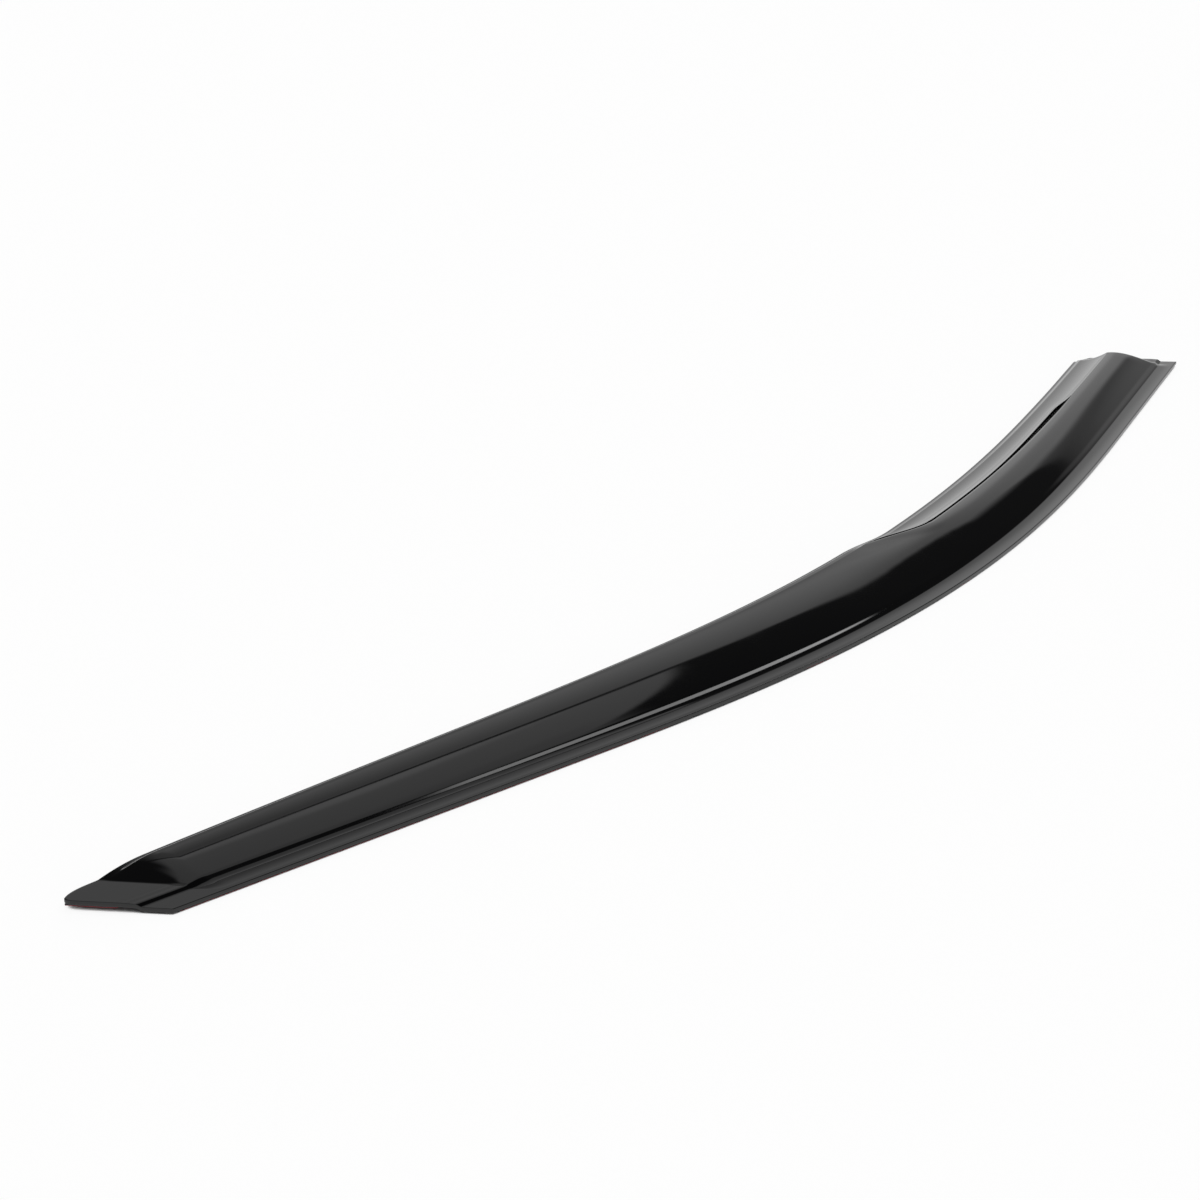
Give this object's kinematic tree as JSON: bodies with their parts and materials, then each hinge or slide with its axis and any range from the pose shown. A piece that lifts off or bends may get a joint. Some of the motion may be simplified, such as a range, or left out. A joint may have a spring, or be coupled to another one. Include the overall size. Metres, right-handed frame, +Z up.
{
  "type": "window rain deflector",
  "caption": "Long curved gloss black acrylic rain deflector for a car door window, with a vent slot and a flat flange on foam tape.",
  "frame": {"origin": "on the ground, at the middle of the lower face of the first release liner run, at the foot end of the flange", "axes": "+X from the foot at the mirror corner to the rear end, +Y from the flange to the inner edge, +Z up out of the outside face; the part lies flange down"},
  "size_m": [1.0883, 0.1818, 0.0167],
  "materials": {
    "acrylic": "polished black moulded acrylic",
    "foam_tape": "dark grey closed-cell foam tape",
    "liner": "red release film, semi-matt"
  },
  "bodies": {
    "root": {"visor": "acrylic", "foot_tape": "foam_tape", "foot_liner": "liner", "rear_tape": "foam_tape", "rear_liner": "liner", "flange_tape_1": "foam_tape", "flange_tape_2": "foam_tape", "flange_tape_3": "foam_tape", "flange_tape_4": "foam_tape", "flange_tape_5": "foam_tape", "flange_tape_6": "foam_tape", "flange_tape_7": "foam_tape", "flange_liner_1": "liner", "flange_liner_2": "liner", "flange_liner_3": "liner", "flange_liner_4": "liner", "flange_liner_5": "liner", "flange_liner_6": "liner", "flange_liner_7": "liner"}
  },
  "joints": []
}
